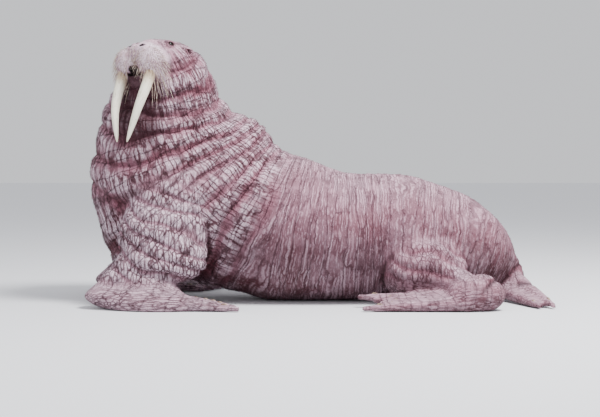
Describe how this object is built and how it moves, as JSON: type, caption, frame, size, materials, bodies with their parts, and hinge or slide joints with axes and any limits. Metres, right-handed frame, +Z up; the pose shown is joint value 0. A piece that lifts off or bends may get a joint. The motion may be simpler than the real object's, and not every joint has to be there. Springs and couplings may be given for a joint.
{
  "type": "walrus",
  "caption": "Life-size bull walrus resting on its belly, chest propped on its fore flippers and head turned to its left, with long tusks and bristly whisker pads.",
  "frame": {"origin": "middle of the bounding box in plan, on the floor", "axes": "+Z up; the head end points towards -X and the animal's left side towards -Y, +X towards the tail"},
  "size_m": [2.7954, 1.4016, 1.5787],
  "materials": {
    "hide": "deeply wrinkled cinnamon-brown hide, dull, with thin short hair",
    "flipper_hide": "bare dark brown skin, dull and grooved",
    "whisker_pads": "paler bristly skin, dull",
    "eyes": "wet dark brown",
    "ears": "dull bare skin",
    "tusks": "worn ivory, satin, with fine lengthwise cracks"
  },
  "bodies": {
    "root": {"head": "hide", "neck": "hide", "chest": "hide", "torso": "hide", "rump": "hide", "tail": "hide", "fore_leg_left": "hide", "fore_leg_right": "hide", "hind_leg_left": "hide", "hind_leg_right": "hide", "lower_jaw": "hide", "fore_flipper_left": "flipper_hide", "fore_flipper_right": "flipper_hide", "hind_flipper_left": "flipper_hide", "hind_flipper_right": "flipper_hide", "whisker_pad_left": "whisker_pads", "whisker_pad_right": "whisker_pads", "eye_left": "eyes", "eye_right": "eyes", "ear_left": "ears", "ear_right": "ears", "tusk_left": "tusks", "tusk_right": "tusks"}
  },
  "joints": []
}
